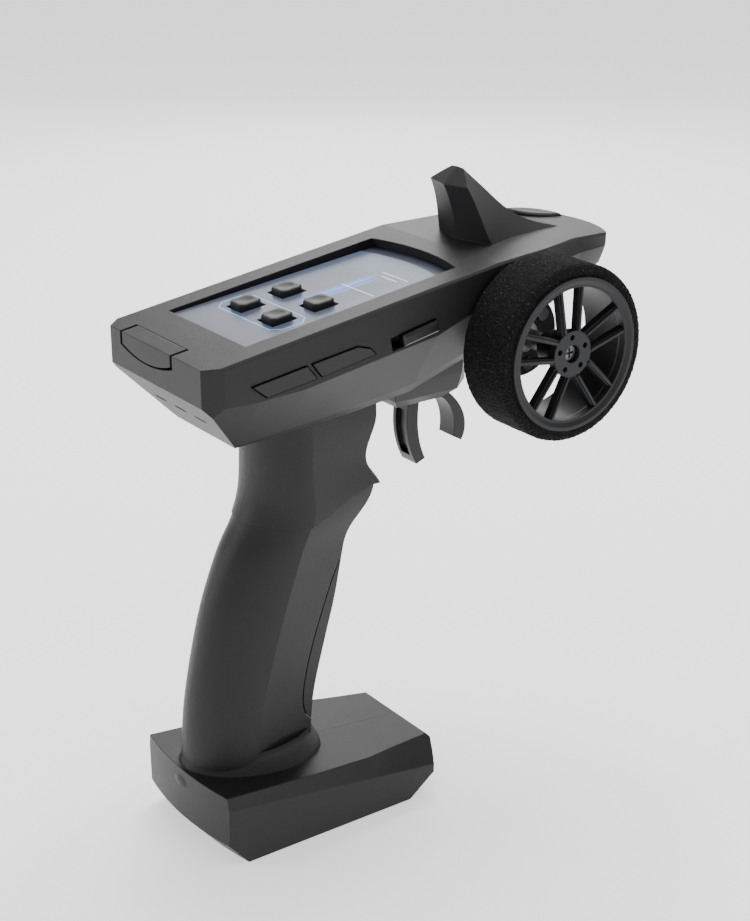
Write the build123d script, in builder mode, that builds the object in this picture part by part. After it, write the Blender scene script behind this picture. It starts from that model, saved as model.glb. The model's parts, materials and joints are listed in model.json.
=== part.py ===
from build123d import *
from math import atan, degrees, cos, sin, radians
import os

os.makedirs("parts", exist_ok=True)

# Pistol-grip radio transmitter. Millimetres, +Z up, +Y towards the front, +X on the wheel's side.
# The origin is the centre of the base's underside, on the plane where the two shells meet.

# Walls and clearances
wall = 2.0
seam_gap = 0.25
slide_gap = 0.35
shaft_gap = 0.05
edge_chamfer = 0.8

# Head
head_half = 31.4
head_rear_y = -45.7
rear_corner = 4.2
head_front_y = 121.5
deck_z = 176.8
deck_slope = 0.15
front_half_chord = 20.0
front_bow = 6.7
front_lean = 0.3

# Panel recess in the head's top
panel_half = 22.7
panel_rear_y = -27.5
panel_front_y = 50.0
panel_bow = 3.0
panel_depth_rear = 1.2
panel_depth_front = 3.0
panel_plate_t = 1.6
panel_ledge = 2.5
sticker_margin = 0.6
sticker_front_margin = 4.5
sticker_t = 0.25
button_size = 8.0
button_chamfer = 1.4
button_proud = 2.2
button_travel = 0.8
button_round = 0.6
dish_width = 5.6
dish_depth = 0.3
button_x = 9.0
button_rows = (7.35, -7.95)
button_flange = 1.0
button_flange_t = 1.0
stem_radius = 1.5
stem_length = 2.2
tact_size = 6.0
tact_height = 3.4
pcb_t = 1.6

# Side controls
trim_proud = 0.5
trim_flange = 0.8
switch_y = 27.2
switch_z = 168.6
switch_length = 17.5
switch_height = 4.4
switch_slope = 0.2
switch_travel = 3.5
knob_proud = 1.7

# Grip
grip_half = 14.3
block_half = 15.5
nose_half = 9.0
block_nose_half = 12.0
nose_depth = 3.2
grip_step = 8.0
insert_t = 1.5

# Base
base_half = 26.0
base_bottom_half = 25.3
base_rear_y = -39.5
base_front_y = 39.3
base_rear_bow = 3.7
base_front_bow = 8.9
base_top_z = 22.28
base_top_slope = -0.0892
ridge_z = 16.3
ridge_slope = -0.131

# Battery
cell_radius = 5.2
cell_length = 44.5
cell_gap = 0.3
cell_count = 4
cell_lift = 0.5
tray_wall = 1.2
contact_length = 3.2
door_half = 21.8
door_rear_y = -26.5
door_front_y = 29.5
door_t = 1.6

# Steering wheel
wheel_y = 72.83
wheel_z = 159.4
tyre_radius = 28.7
tyre_width = 20.6
tyre_shoulder = 3.0
wheel_gap = 1.4
rim_radius = 24.7
barrel_radius = 23.2
barrel_wall = 1.2
lip_width = 1.2
hub_radius = 7.5
hub_recess = 1.3
hub_length = 11.0
spoke_pairs = 5
spoke_first_angle = 21.9
spoke_hub_offset = 2.8
spoke_rim_offset = 4.4
spoke_width = 1.8
spoke_depth = 3.0
lug_radius = 0.9
lug_circle = 5.4
shaft_radius = 3.0
boss_radius = 13.5
boss_left_x = -23.0
mount_t = 2.4

# Trigger
pivot_y = 54.0
pivot_z = 149.0
trigger_half = 4.0
trigger_web_radius = 6.0
trigger_pin_radius = 1.5
trigger_pot_radius = 5.5
trigger_spring_radius = 3.2
slot_half = 4.6
slot_rear_y = 40.6
slot_front_y = 65.2
slot_top_z = 157.0

# Screws
screw_radius = 1.25
screw_head_radius = 2.5
screw_head_t = 1.8
boss_wall = 1.8

cell_pitch = 2 * cell_radius + cell_gap
tilt_slope = deck_slope - (panel_depth_front - panel_depth_rear) / (panel_front_y - panel_rear_y)
floor_z = deck_z - panel_depth_rear + panel_rear_y * (deck_slope - tilt_slope)
tilt = degrees(atan(tilt_slope))
stretch = 1 / cos(radians(tilt))
panel_floor = Plane(origin=(0, 0, floor_z), x_dir=(1, 0, 0), z_dir=(0, -sin(radians(tilt)), cos(radians(tilt))))
tyre_inner_x = head_half + wheel_gap
lip_x = tyre_inner_x + tyre_width + 0.6
mount_inner_x = head_half - 5.0
axle_plane = Plane(origin=(0, wheel_y, wheel_z), x_dir=(0, 1, 0), z_dir=(1, 0, 0))
pivot_plane = Plane(origin=(0, pivot_y, pivot_z), x_dir=(0, 1, 0), z_dir=(1, 0, 0))


def deck(y):
    """Height of the head's flat top at a given y."""
    return deck_z + deck_slope * y


# Head stations: y, top half-width, top z, fold half, fold z, keel half, keel z, sole half, sole z
head_stations = [
    (-50.0, head_half, deck(-50.0), head_half, 158.8, head_half - 12.9, 140.7, head_half - 14.4, 139.5),
    (-29.0, head_half, deck(-29.0), head_half, 158.1, head_half - 12.9, 140.7, head_half - 14.4, 139.5),
    (-12.0, head_half, deck(-12.0), head_half, 159.0, head_half - 12.6, 142.2, head_half - 14.9, 139.9),
    (12.0, head_half, deck(12.0), head_half, 162.9, head_half - 12.2, 144.6, head_half - 14.9, 141.6),
    (36.0, head_half, deck(36.0), head_half, 166.6, head_half - 11.9, 147.8, head_half - 14.9, 144.2),
    (60.0, head_half, deck(60.0), head_half, 175.0, head_half - 10.9, 156.0, head_half - 14.4, 152.0),
    (82.0, head_half - 2.4, 186.7, head_half - 1.9, 181.0, head_half - 10.9, 161.0, head_half - 14.4, 158.0),
    (99.0, head_half - 8.6, 186.2, head_half - 5.9, 182.0, head_half - 11.1, 168.5, head_half - 14.4, 166.5),
    (112.0, head_half - 10.6, 185.5, head_half - 7.2, 182.6, head_half - 11.4, 175.6, head_half - 14.4, 174.6),
    (124.0, head_half - 10.6, 185.0, head_half - 7.2, 182.6, head_half - 11.4, 176.6, head_half - 14.4, 175.6),
]


def head_loft(stations, inset):
    """Ruled loft of the head's cross sections, moved inwards by inset."""
    with BuildPart() as form:
        for y, top_half, top_z, fold_half, fold_z, keel_half, keel_z, sole_half, sole_z in stations:
            right = [
                (top_half - edge_chamfer - inset, top_z - inset),
                (top_half - inset, top_z - edge_chamfer - inset),
                (fold_half - inset, fold_z + inset / 2),
                (keel_half - inset, keel_z + inset),
                (sole_half - inset, sole_z + inset),
            ]
            with BuildSketch(Plane.XZ.offset(-y)):
                with BuildLine():
                    Polyline(*right, *[(-x, z) for x, z in reversed(right)], close=True)
                make_face()
        loft(ruled=True)
    return form.part


# Grip outline: z, rear y, crease y, front y
grip_rows = [
    (5.0, -41.6, -23.0, 3.0),
    (22.0, -41.2, -22.5, 4.4),
    (43.0, -39.7, -20.5, 6.5),
    (60.0, -36.8, -16.2, 10.8),
    (78.0, -32.4, -10.6, 15.8),
    (91.0, -27.6, -6.0, 18.4),
    (101.0, -22.8, -2.2, 22.4),
    (106.5, -19.2, 0.2, 28.6),
    (111.0, -17.2, 1.0, 32.5),
    (117.0, -15.6, 0.5, 28.6),
    (123.0, -15.0, 0.0, 26.0),
    (130.0, -14.8, 0.0, 27.6),
    (145.0, -14.8, 0.0, 33.0),
    (160.0, -14.8, 0.0, 38.0),
]


def grip_row(z):
    """The grip's rear, crease and front at height z, on a smooth curve through grip_rows."""
    i = max(1, min(len(grip_rows) - 3, sum(row[0] <= z for row in grip_rows) - 1))
    before, low, high, after = grip_rows[i - 1:i + 3]
    span = high[0] - low[0]
    t = (z - low[0]) / span
    values = []
    for a, b, c, d in list(zip(before, low, high, after))[1:]:
        slope_low = (c - a) / (high[0] - before[0]) * span
        slope_high = (d - b) / (after[0] - low[0]) * span
        values.append((2 * t**3 - 3 * t**2 + 1) * b + (t**3 - 2 * t**2 + t) * slope_low
                      + (3 * t**2 - 2 * t**3) * c + (t**3 - t**2) * slope_high)
    return values


def grip_loft(z_low, z_high, half, nose_half, inset, front_inset):
    """Loft of the grip's cross sections: a round back, flat sides and a round nose."""
    count = round((z_high - z_low) / grip_step)
    with BuildPart() as form:
        for k in range(count + 1):
            z = z_low + (z_high - z_low) * k / count
            rear, crease, front = grip_row(z)
            side = half - inset
            nose = nose_half - inset
            nose_y = front - front_inset - nose_depth
            with BuildSketch(Plane.XY.offset(z)):
                with BuildLine():
                    EllipticalCenterArc((0, crease), side, crease - rear - inset, start_angle=180, arc_size=180)
                    Line((side, crease), (nose, nose_y))
                    ThreePointArc((nose, nose_y), (0, front - front_inset), (-nose, nose_y))
                    Line((-nose, nose_y), (-side, crease))
                make_face()
        loft()
    return form.part


# Base stations: y, top half-width
base_stations = [
    (-50.0, 25.2), (base_rear_y, 25.0), (-3.0, 24.2), (16.0, 23.2), (30.0, 20.3), (44.5, 17.8), (52.0, 16.4),
]


def base_form(inset):
    """The base's faceted body with its bowed ends, moved inwards by inset."""
    rear = base_rear_y + inset
    front = base_front_y - inset
    with BuildPart() as form:
        for y, top_half in base_stations:
            top_half = top_half + base_half - 26.0
            right = [
                (base_bottom_half - inset, inset),
                (base_half - inset, ridge_z + ridge_slope * y),
                (top_half - inset, base_top_z + base_top_slope * y - inset),
            ]
            with BuildSketch(Plane.XZ.offset(-y)):
                with BuildLine():
                    Polyline(*right, *[(-x, z) for x, z in reversed(right)], close=True)
                make_face()
        loft(ruled=True)
        # Bowed front and rear walls
        with BuildSketch(Plane.XY):
            with BuildLine():
                Line((-base_half - 3, rear), (-base_half - 3, front))
                ThreePointArc((-base_half - 3, front), (0, front + base_front_bow), (base_half + 3, front))
                Line((base_half + 3, front), (base_half + 3, rear))
                ThreePointArc((base_half + 3, rear), (0, rear - base_rear_bow), (-base_half - 3, rear))
            make_face()
        extrude(amount=40, both=True, mode=Mode.INTERSECT)
        # The lower ends lean in towards the underside
        with BuildSketch(Plane.XY):
            with BuildLine():
                Line((-base_half - 3, rear + 7.2), (-base_half - 3, front + 20))
                Line((-base_half - 3, front + 20), (base_half + 3, front + 20))
                Line((base_half + 3, front + 20), (base_half + 3, rear + 7.2))
                ThreePointArc((base_half + 3, rear + 7.2), (0, rear + 7.2 - base_rear_bow),
                              (-base_half - 3, rear + 7.2))
            make_face()
        extrude(amount=60, dir=(0, -0.65, 0.76), mode=Mode.INTERSECT)
        with BuildSketch(Plane.XY):
            with BuildLine():
                Line((-base_half - 3, rear - 90), (-base_half - 3, front - 9))
                ThreePointArc((-base_half - 3, front - 9), (0, front - 9 + 5.5), (base_half + 3, front - 9))
                Line((base_half + 3, front - 9), (base_half + 3, rear - 90))
                Line((base_half + 3, rear - 90), (-base_half - 3, rear - 90))
            make_face()
        extrude(amount=60, dir=(0, 0.78, 0.62), mode=Mode.INTERSECT)
    return form.part



def panel_outline(grow, front_shift):
    """The panel's outline in the floor plane: straight rear, bowed front."""
    half = panel_half + grow
    rear = panel_rear_y * stretch - grow
    front = panel_front_y * stretch + grow - front_shift
    with BuildSketch(Plane.XY) as outline:
        with BuildLine():
            Polyline((-half, front), (-half, rear), (half, rear), (half, front))
            ThreePointArc((half, front), (0, front + panel_bow), (-half, front))
        make_face()
    return outline.sketch


def trim_outline(points, grow):
    """A trim button's slanted outline on the head's side, in y and z."""
    with BuildSketch(Plane.XY) as outline:
        with BuildLine():
            Polyline(*points, close=True)
        make_face()
        if grow:
            offset(amount=grow, kind=Kind.INTERSECTION)
    return outline.sketch


def coil(plane, inner, outer_r, length, turns):
    """A spring as one ridged sleeve, with a ridge for each turn."""
    pitch = length / turns
    with BuildPart() as form:
        with BuildSketch(plane):
            Circle(outer_r - 0.4)
            Circle(inner, mode=Mode.SUBTRACT)
        extrude(amount=length)
        for turn in range(turns):
            with BuildSketch(plane.offset(pitch * turn + pitch * 0.25)):
                Circle(outer_r)
                Circle(inner, mode=Mode.SUBTRACT)
            extrude(amount=pitch / 2)
    return form.part


# ---------------------------------------------------------------- outer forms
head_blank = head_loft(head_stations, 0)
grip_low = grip_loft(21.0, 145.0, grip_half, nose_half, 0, 0)
grip_block = grip_loft(97.0, 145.0, block_half, block_nose_half, 0, 0)
base_outer = base_form(0)
base_inner = base_form(wall)

# Plan outline that rounds the head's front end
side_x = head_half + 6
corner_x = front_half_chord + 6
front_plane_z = 192.0
lean_shift = front_lean * (front_plane_z - 185.8)
corner_y = head_front_y - front_bow - 4.6 + lean_shift
with BuildPart() as head_form:
    add(head_blank)
    # Flat rear face with cut corners, and an underside that slopes up to it
    with BuildSketch(Plane.XY):
        Polygon((-side_x, 200), (-side_x, -40.5), (-head_half, -40.5), (rear_corner - head_half, head_rear_y),
                (head_half - rear_corner, head_rear_y), (head_half, -40.5), (side_x, -40.5), (side_x, 200),
                align=None)
    extrude(amount=260, mode=Mode.INTERSECT)
    with BuildSketch(Plane.YZ):
        Polygon((head_rear_y - 9, 168.3), (-28.0, 138.4), (-28.0, 100), (head_rear_y - 9, 100), align=None)
    extrude(amount=side_x, both=True, mode=Mode.SUBTRACT)
    with BuildSketch(Plane.XY.offset(front_plane_z)):
        with BuildLine():
            Polyline((-corner_x, corner_y), (-side_x, corner_y - 12), (-side_x, head_rear_y - 5),
                     (side_x, head_rear_y - 5), (side_x, corner_y - 12), (corner_x, corner_y))
            ThreePointArc((corner_x, corner_y), (0, head_front_y + lean_shift), (-corner_x, corner_y))
        make_face()
    extrude(amount=60, dir=(0, -front_lean, -1), mode=Mode.INTERSECT)

# The block above the palm stands proud of the grip, down to a slanted step
with BuildPart() as block_form:
    add(grip_block)
    with BuildSketch(Plane.YZ):
        with BuildLine():
            Polyline((-45, 80), (-45, 110), (-13, 107.5), (-4, 105.2), (2, 105.8), (17, 111.8), (25, 113.6),
                     (45, 112.0), (45, 80), close=True)
        make_face()
    extrude(amount=block_half + 5, both=True, mode=Mode.SUBTRACT)

# Bracket under the head that holds the trigger
bracket_stations = [(136.4, 37.0, 63.0, 9.0), (139.5, 34.5, 67.5, 12.0), (146.0, 32.0, 67.5, 14.5),
                    (154.0, 30.0, 66.0, 17.0)]
with BuildPart() as bracket_form:
    for z, rear, front, half in bracket_stations:
        with BuildSketch(Plane.XY.offset(z)):
            with BuildLine():
                Polyline((-half, rear), (half, rear), (half, front - 8), (half * 0.45, front),
                         (-half * 0.45, front),
                         (-half, front - 8), close=True)
            make_face()
    loft(ruled=True)

# Round boss on each side of the head for the steering axle
with BuildPart() as boss_form:
    with BuildSketch(axle_plane.offset(boss_left_x)):
        Circle(boss_radius)
    extrude(amount=mount_inner_x - boss_left_x)
    with BuildSketch(axle_plane.offset(boss_left_x)):
        with Locations((0, boss_radius * 0.6)):
            Rectangle(2 * boss_radius, boss_radius * 1.2)
    extrude(amount=-boss_left_x + 20)

# Hook-shaped fin: z, rear centre y, half-width, rear corner y, front y, front half-width
fin_stations = [
    (184.0, 68.0, 14.8, 72.0, 112.0, 6.0),
    (188.0, 67.2, 13.4, 70.5, 99.0, 4.6),
    (192.0, 66.6, 12.3, 69.2, 89.5, 3.8),
    (198.0, 64.9, 11.0, 67.2, 81.2, 3.2),
    (205.0, 61.9, 9.7, 64.0, 73.2, 3.0),
    (212.0, 58.0, 8.6, 60.0, 65.6, 3.0),
]
with BuildPart() as fin_form:
    for z, rear, half, corner, front, front_half in fin_stations:
        with BuildSketch(Plane.XY.offset(z)):
            with BuildLine():
                Polyline((0, rear), (half, corner), (front_half, front), (-front_half, front), (-half, corner),
                         close=True)
            make_face()
    loft()
    # Two roof facets meet on the ridge
    for side in (1, -1):
        split(bisect_by=Plane(origin=(0, 66.9, 209.7), x_dir=(0, 5.3, 5.1), z_dir=(side * 9.6, -49.5, 51.4)),
              keep=Keep.BOTTOM)

# Soft flange where the grip meets the base
with BuildPart() as foot_form:
    for z, spread in ((20.0, 3.0), (25.0, 1.9), (27.0, 0.7), (31.0, 0.0)):
        with BuildSketch(Plane.XY.offset(z)):
            with Locations((0, -17.2)):
                Ellipse(grip_half + spread + 0.4, 23.4 + spread)
    loft()


with BuildPart() as outer:
    add(head_form.part)
    for form in (bracket_form, boss_form, fin_form):
        add(form.part)
    add(grip_low)
    add(block_form.part)
    add(foot_form.part)
    add(base_outer)

# ---------------------------------------------------------------- the void inside
# Sites of the screws that join the shells: y, z and the left outer face there
case_screw_sites = [
    (-37.0, 163.0, head_half),
    (96.0, 176.0, head_half - 8.0),
    (8.0, 128.0, block_half),
    (-25.0, 62.0, grip_half - 0.6),
    (-32.5, 16.5, base_half - 0.6),
    (34.0, 11.0, base_half - 0.4),
]
head_sink = 2.2
screw_reach = 8.0
standoff_radius = 2.4
standoff_x = 21.4
standoff_rows = (-23.0, 43.0)
flange_z = -panel_plate_t - 0.1
stem_end_z = flange_z - button_flange_t - stem_length
tact_top_z = stem_end_z - button_travel - 0.4
pcb_z = tact_top_z - tact_height
frame_grow = 2.3
frame_z = -panel_plate_t - 1.6
pot_radius = 9.0
pot_pocket = pot_radius + 0.5
spring_radius = 5.2

head_inner = head_loft(head_stations, wall)
grip_inner = grip_loft(14.0, 152.0, grip_half, nose_half, wall + 0.4, wall + insert_t + 0.8)


def side_plane(x, y, z):
    """A plane square to X, with its origin at the given point."""
    return Plane(origin=(x, y, z), x_dir=(0, 1, 0), z_dir=(1, 0, 0))


# Panel frame, board standoffs and screw bosses, which stand inside the hollow shells
with BuildPart() as columns:
    with BuildSketch(panel_floor.offset(frame_z)):
        add(panel_outline(frame_grow, 0))
    extrude(amount=20)
    with BuildSketch(panel_floor.offset(pcb_z)):
        with Locations(*[(x, v) for x in (-standoff_x, standoff_x) for v in standoff_rows]):
            Circle(standoff_radius)
    extrude(amount=-pcb_z)
    for y, z, face_x in case_screw_sites:
        with BuildSketch(side_plane(-face_x, y, z)):
            Circle(screw_head_radius + boss_wall - 0.3)
        extrude(amount=face_x)
        with BuildSketch(side_plane(0, y, z)):
            Circle(screw_radius + boss_wall)
        extrude(amount=face_x)
    add(outer.part, mode=Mode.INTERSECT)

with BuildPart() as head_void:
    add(head_inner)
    # Ends short of the front and rear walls, and follows the sloped rear underside
    with BuildSketch(Plane.YZ):
        Polygon((-40.6, 190), (-40.6, 155.6), (-27.6, 141.1), (-27.6, 100), (106, 100), (106, 190), align=None)
    extrude(amount=side_x, both=True, mode=Mode.INTERSECT)

# ---------------------------------------------------------------- cuts through the walls
tab_x = -5.0
tab_half = 15.6
tab_notch = 0.8
tab_depth = 5.6
tab_low_z = 166.0
tab_sag = 2.6
trim_shapes = {
    "trim_button_rear": [(-31.0, 163.2), (-12.3, 166.0), (-8.9, 161.7), (-26.3, 159.4)],
    "trim_button_front": [(-10.2, 166.3), (6.0, 168.6), (10.6, 167.2), (12.4, 165.3), (-7.0, 162.0)],
}
switch_plane = Plane(origin=(head_half, switch_y, switch_z), x_dir=(0, 1, switch_slope), z_dir=(1, 0, 0))
cap_z = 184.4
cap_height = 3.2
cap_fall = 0.055
insert_points = [(19.5, 93.5), (14.6, 89.0), (8.0, 76.8), (2.2, 61.4), (-1.2, 47.3), (-1.0, 38.4), (2.6, 33.4)]


def tab_outline(grow, notch=0):
    """The rear tab's outline in x and z: a shallow arc for its lower edge, short of its pocket by notch."""
    left = tab_x - tab_half - grow + notch
    right = tab_x + tab_half + grow - notch
    low = tab_low_z - grow
    with BuildSketch(Plane.XY) as outline:
        with BuildLine():
            Polyline((right, low), (right, 190), (left, 190), (left, low))
            ThreePointArc((left, low), (tab_x, low - tab_sag), (right, low))
        make_face()
    return outline.sketch


def insert_region(grow):
    """The region in front of the grip insert's seam, in y and z, moved back by grow."""
    seam = [(y - grow, z) for y, z in insert_points]
    low = (seam[-1][0] + 3, seam[-1][1] - 2 - grow)
    high = (seam[0][0] + 3, seam[0][1] + 2 + grow)
    with BuildSketch(Plane.XY) as outline:
        with BuildLine():
            Spline(*seam)
            Polyline(seam[-1], low, (40, low[1]), (40, high[1]), high, seam[0])
        make_face()
    return outline.sketch


def cap_outline(grow):
    """The front cap's lens-shaped outline on the head's top, at its left front corner."""
    with BuildSketch(Plane.XY) as outline:
        with BuildLine():
            ThreePointArc((-7.0, 119.0), (-15.6, 115.0), (-20.0, 104.0))
            ThreePointArc((-20.0, 104.0), (-11.0, 108.6), (-7.0, 119.0))
        make_face()
        if grow:
            offset(amount=grow)
    return outline.sketch


insert_back = grip_loft(21.0, 145.0, grip_half, nose_half, insert_t, insert_t)
with BuildPart() as insert_pocket:
    add(grip_low)
    add(insert_back, mode=Mode.SUBTRACT)
    with BuildSketch(Plane.YZ):
        add(insert_region(seam_gap))
    extrude(amount=20, both=True, mode=Mode.INTERSECT)

# Everything that is cut out of the shells after they are hollowed
with BuildPart() as cuts:
    # Panel recess and the window in its ledge
    with BuildSketch(panel_floor.offset(-panel_plate_t)):
        add(panel_outline(0, 0))
    extrude(amount=20)
    with BuildSketch(panel_floor.offset(-10)):
        add(panel_outline(-panel_ledge, 0))
    extrude(amount=20)
    # Screw holes for the board
    with BuildSketch(panel_floor.offset(pcb_z)):
        with Locations(*[(x, v) for x in (-standoff_x, standoff_x) for v in standoff_rows]):
            Circle(screw_radius - 0.25)
    extrude(amount=5)
    # Case screws enter from the left
    for y, z, face_x in case_screw_sites:
        with BuildSketch(side_plane(-face_x - 4, y, z)):
            Circle(screw_head_radius + seam_gap)
        extrude(amount=4 + head_sink + screw_head_t)
        with BuildSketch(side_plane(-face_x, y, z)):
            Circle(screw_radius)
        extrude(amount=face_x + screw_reach)
    # Pockets of the rear tab and the front cap
    with BuildSketch(Plane.XZ.offset(-head_rear_y + 5)):
        add(tab_outline(seam_gap))
    extrude(amount=-5 - tab_depth - seam_gap)
    with BuildSketch(Plane.XY.offset(cap_z)):
        add(cap_outline(seam_gap))
    extrude(amount=8)
    # Slots for the trim buttons and the switch, with room behind the wall
    for points in trim_shapes.values():
        with BuildSketch(Plane.YZ.offset(head_half + 2)):
            add(trim_outline(points, slide_gap))
        extrude(amount=-8)
        with BuildSketch(Plane.YZ.offset(head_half - wall)):
            add(trim_outline(points, trim_flange + slide_gap))
        extrude(amount=-5)
    with BuildSketch(switch_plane.offset(3)):
        Rectangle(switch_length, switch_height)
    extrude(amount=-10)
    # Seat of the steering mount, and the pocket for the steering sensor
    with BuildSketch(axle_plane.offset(mount_inner_x)):
        Circle(boss_radius + seam_gap)
    extrude(amount=20)
    with BuildSketch(axle_plane.offset(-10)):
        Circle(pot_pocket)
    extrude(amount=mount_inner_x + 10)
    # Trigger slot, and the trigger pin's hole and two pockets
    with BuildSketch(Plane.YZ.offset(-slot_half)):
        with Locations(((slot_rear_y + slot_front_y) / 2, (128 + slot_top_z) / 2)):
            Rectangle(slot_front_y - slot_rear_y, slot_top_z - 128)
    extrude(amount=2 * slot_half)
    with BuildSketch(pivot_plane.offset(-12)):
        Circle(trigger_pot_radius + 0.5)
    extrude(amount=12)
    with BuildSketch(pivot_plane):
        Circle(trigger_spring_radius + 0.6)
    extrude(amount=9)
    with BuildSketch(pivot_plane):
        Circle(trigger_pin_radius + shaft_gap)
    extrude(amount=11.5)
    # Room for the aerial in the fin
    with BuildSketch(Plane.XY.offset(178)):
        with Locations((0, 72.5)):
            Rectangle(4, 7)
    extrude(amount=21)
    # Battery door opening, open to the front
    with BuildSketch(Plane.XY.offset(-1)):
        with Locations((0, (door_rear_y - slide_gap + 45) / 2)):
            Rectangle(2 * (door_half + slide_gap), 45 - door_rear_y + slide_gap)
    extrude(amount=1 + door_t + 0.1)
    with BuildSketch(Plane.XY):
        with Locations((0, (door_rear_y + door_front_y - 2.5) / 2)):
            Rectangle(2 * door_half - 0.2, door_front_y - door_rear_y - 4.5)
    extrude(amount=wall + 2)
    # Short vent slots in the rear underside
    for x in (-12, 0, 12):
        with BuildSketch(Plane(origin=(x, -37.0, 149.4), x_dir=(1, 0, 0), z_dir=(0, -0.74, -0.67))):
            SlotOverall(7, 1.4)
        extrude(amount=8, both=True)


with BuildPart() as body:
    add(outer.part)
    add(head_void.part, mode=Mode.SUBTRACT)
    add(grip_inner, mode=Mode.SUBTRACT)
    add(base_inner, mode=Mode.SUBTRACT)
    add(columns.part)
    add(insert_pocket.part, mode=Mode.SUBTRACT)
    add(cuts.part, mode=Mode.SUBTRACT)

with BuildPart() as shell_left:
    add(body.part)
    with BuildSketch(Plane.YZ):
        Rectangle(500, 700)
    extrude(amount=-100, mode=Mode.INTERSECT)
with BuildPart() as shell_right:
    add(body.part)
    with BuildSketch(Plane.YZ):
        Rectangle(500, 700)
    extrude(amount=100, mode=Mode.INTERSECT)

# ---------------------------------------------------------------- covers set into the shells
with BuildPart() as rear_tab:
    add(head_form.part)
    with BuildSketch(Plane.XZ.offset(-head_rear_y + 5)):
        add(tab_outline(-seam_gap, tab_notch))
    extrude(amount=-5 - tab_depth, mode=Mode.INTERSECT)

with BuildPart() as front_cap:
    with BuildSketch(Plane.XY.offset(cap_z)):
        add(cap_outline(0))
    extrude(amount=cap_height)
    # The top falls towards the cap's right end
    with BuildSketch(Plane(origin=(-20.0, 104.0, cap_z + cap_height), z_dir=(cap_fall, cap_fall, 1))):
        Rectangle(80, 80)
    extrude(amount=-20, mode=Mode.INTERSECT)
    chamfer(front_cap.faces().sort_by(Axis.Z)[-1].edges(), length=0.6)

with BuildPart() as grip_insert:
    add(grip_low)
    add(grip_loft(21.0, 145.0, grip_half, nose_half, insert_t - 0.1, insert_t - 0.1), mode=Mode.SUBTRACT)
    with BuildSketch(Plane.YZ):
        add(insert_region(-seam_gap))
    extrude(amount=20, both=True, mode=Mode.INTERSECT)

with BuildPart() as battery_door:
    with BuildSketch(Plane.XY):
        with Locations((0, (door_rear_y + door_front_y) / 2)):
            Rectangle(2 * door_half, door_front_y - door_rear_y)
    extrude(amount=door_t)
    # Thumb grooves
    with BuildSketch(Plane.XY):
        with Locations(*[(0, door_front_y - 12 + 2.4 * k) for k in range(4)]):
            SlotOverall(22, 1.2)
    extrude(amount=0.5, mode=Mode.SUBTRACT)

# ---------------------------------------------------------------- panel
button_sites = [(x, v) for v in button_rows for x in (-button_x, button_x)]
cap_hole = button_size + 2 * slide_gap

with BuildPart() as panel_plate:
    with BuildSketch(panel_floor.offset(-panel_plate_t)):
        add(panel_outline(-seam_gap, 0))
    extrude(amount=panel_plate_t)
    with BuildSketch(panel_floor.offset(-panel_plate_t)):
        with Locations(*button_sites):
            Rectangle(cap_hole, cap_hole)
    extrude(amount=panel_plate_t, mode=Mode.SUBTRACT)

with BuildPart() as panel_sticker:
    with BuildSketch(panel_floor):
        add(panel_outline(-seam_gap - sticker_margin, sticker_front_margin))
        with Locations(*button_sites):
            Rectangle(cap_hole + 0.6, cap_hole + 0.6, mode=Mode.SUBTRACT)
    extrude(amount=sticker_t)

panel_buttons = []
up = Axis(panel_floor.origin, panel_floor.z_dir)
dish_radius = dish_width ** 2 / 8 / dish_depth
for x, v in button_sites:
    with BuildPart() as button:
        with BuildSketch(panel_floor.offset(flange_z)):
            with Locations((x, v)):
                Rectangle(button_size, button_size)
            chamfer(vertices(), length=button_chamfer)
        extrude(amount=button_proud - flange_z)
        fillet(button.faces().sort_by(up)[-1].edges(), radius=button_round)
        with Locations(panel_floor.offset(button_proud - dish_depth + dish_radius) * Location((x, v, 0))):
            Sphere(dish_radius, mode=Mode.SUBTRACT)
        with BuildSketch(panel_floor.offset(flange_z - button_flange_t)):
            with Locations((x, v)):
                Rectangle(button_size + 2 * button_flange, button_size + 2 * button_flange)
        extrude(amount=button_flange_t)
        with BuildSketch(panel_floor.offset(stem_end_z)):
            with Locations((x, v)):
                Circle(stem_radius)
        extrude(amount=stem_length)
    panel_buttons.append(button)

with BuildPart() as panel_switches:
    with BuildSketch(panel_floor.offset(pcb_z)):
        with Locations(*button_sites):
            Rectangle(tact_size, tact_size)
    extrude(amount=tact_height - 0.6)
    with BuildSketch(panel_floor.offset(pcb_z + tact_height - 0.6)):
        with Locations(*button_sites):
            Circle(1.7)
    extrude(amount=0.6)

board_half = 23.0
with BuildPart() as main_board:
    with BuildSketch(panel_floor.offset(pcb_z - pcb_t)):
        with Locations((0, (standoff_rows[0] + standoff_rows[1]) / 2)):
            Rectangle(2 * board_half, standoff_rows[1] - standoff_rows[0] + 6)
        with Locations(*[(x, v) for x in (-standoff_x, standoff_x) for v in standoff_rows]):
            Circle(screw_radius, mode=Mode.SUBTRACT)
    extrude(amount=pcb_t)

with BuildPart() as board_screws:
    sites = [(x, v) for x in (-standoff_x, standoff_x) for v in standoff_rows]
    with BuildSketch(panel_floor.offset(pcb_z - pcb_t - 1.2)):
        with Locations(*sites):
            Circle(2.0)
    extrude(amount=1.2)
    with BuildSketch(panel_floor.offset(pcb_z - pcb_t)):
        with Locations(*sites):
            Circle(screw_radius - 0.25)
    extrude(amount=pcb_t + 4.5)

# Radio module under the board
with BuildPart() as radio_module:
    with BuildSketch(panel_floor.offset(pcb_z - pcb_t - 2.4)):
        with Locations((0, 30)):
            Rectangle(16, 18)
    extrude(amount=2.4)

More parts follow.
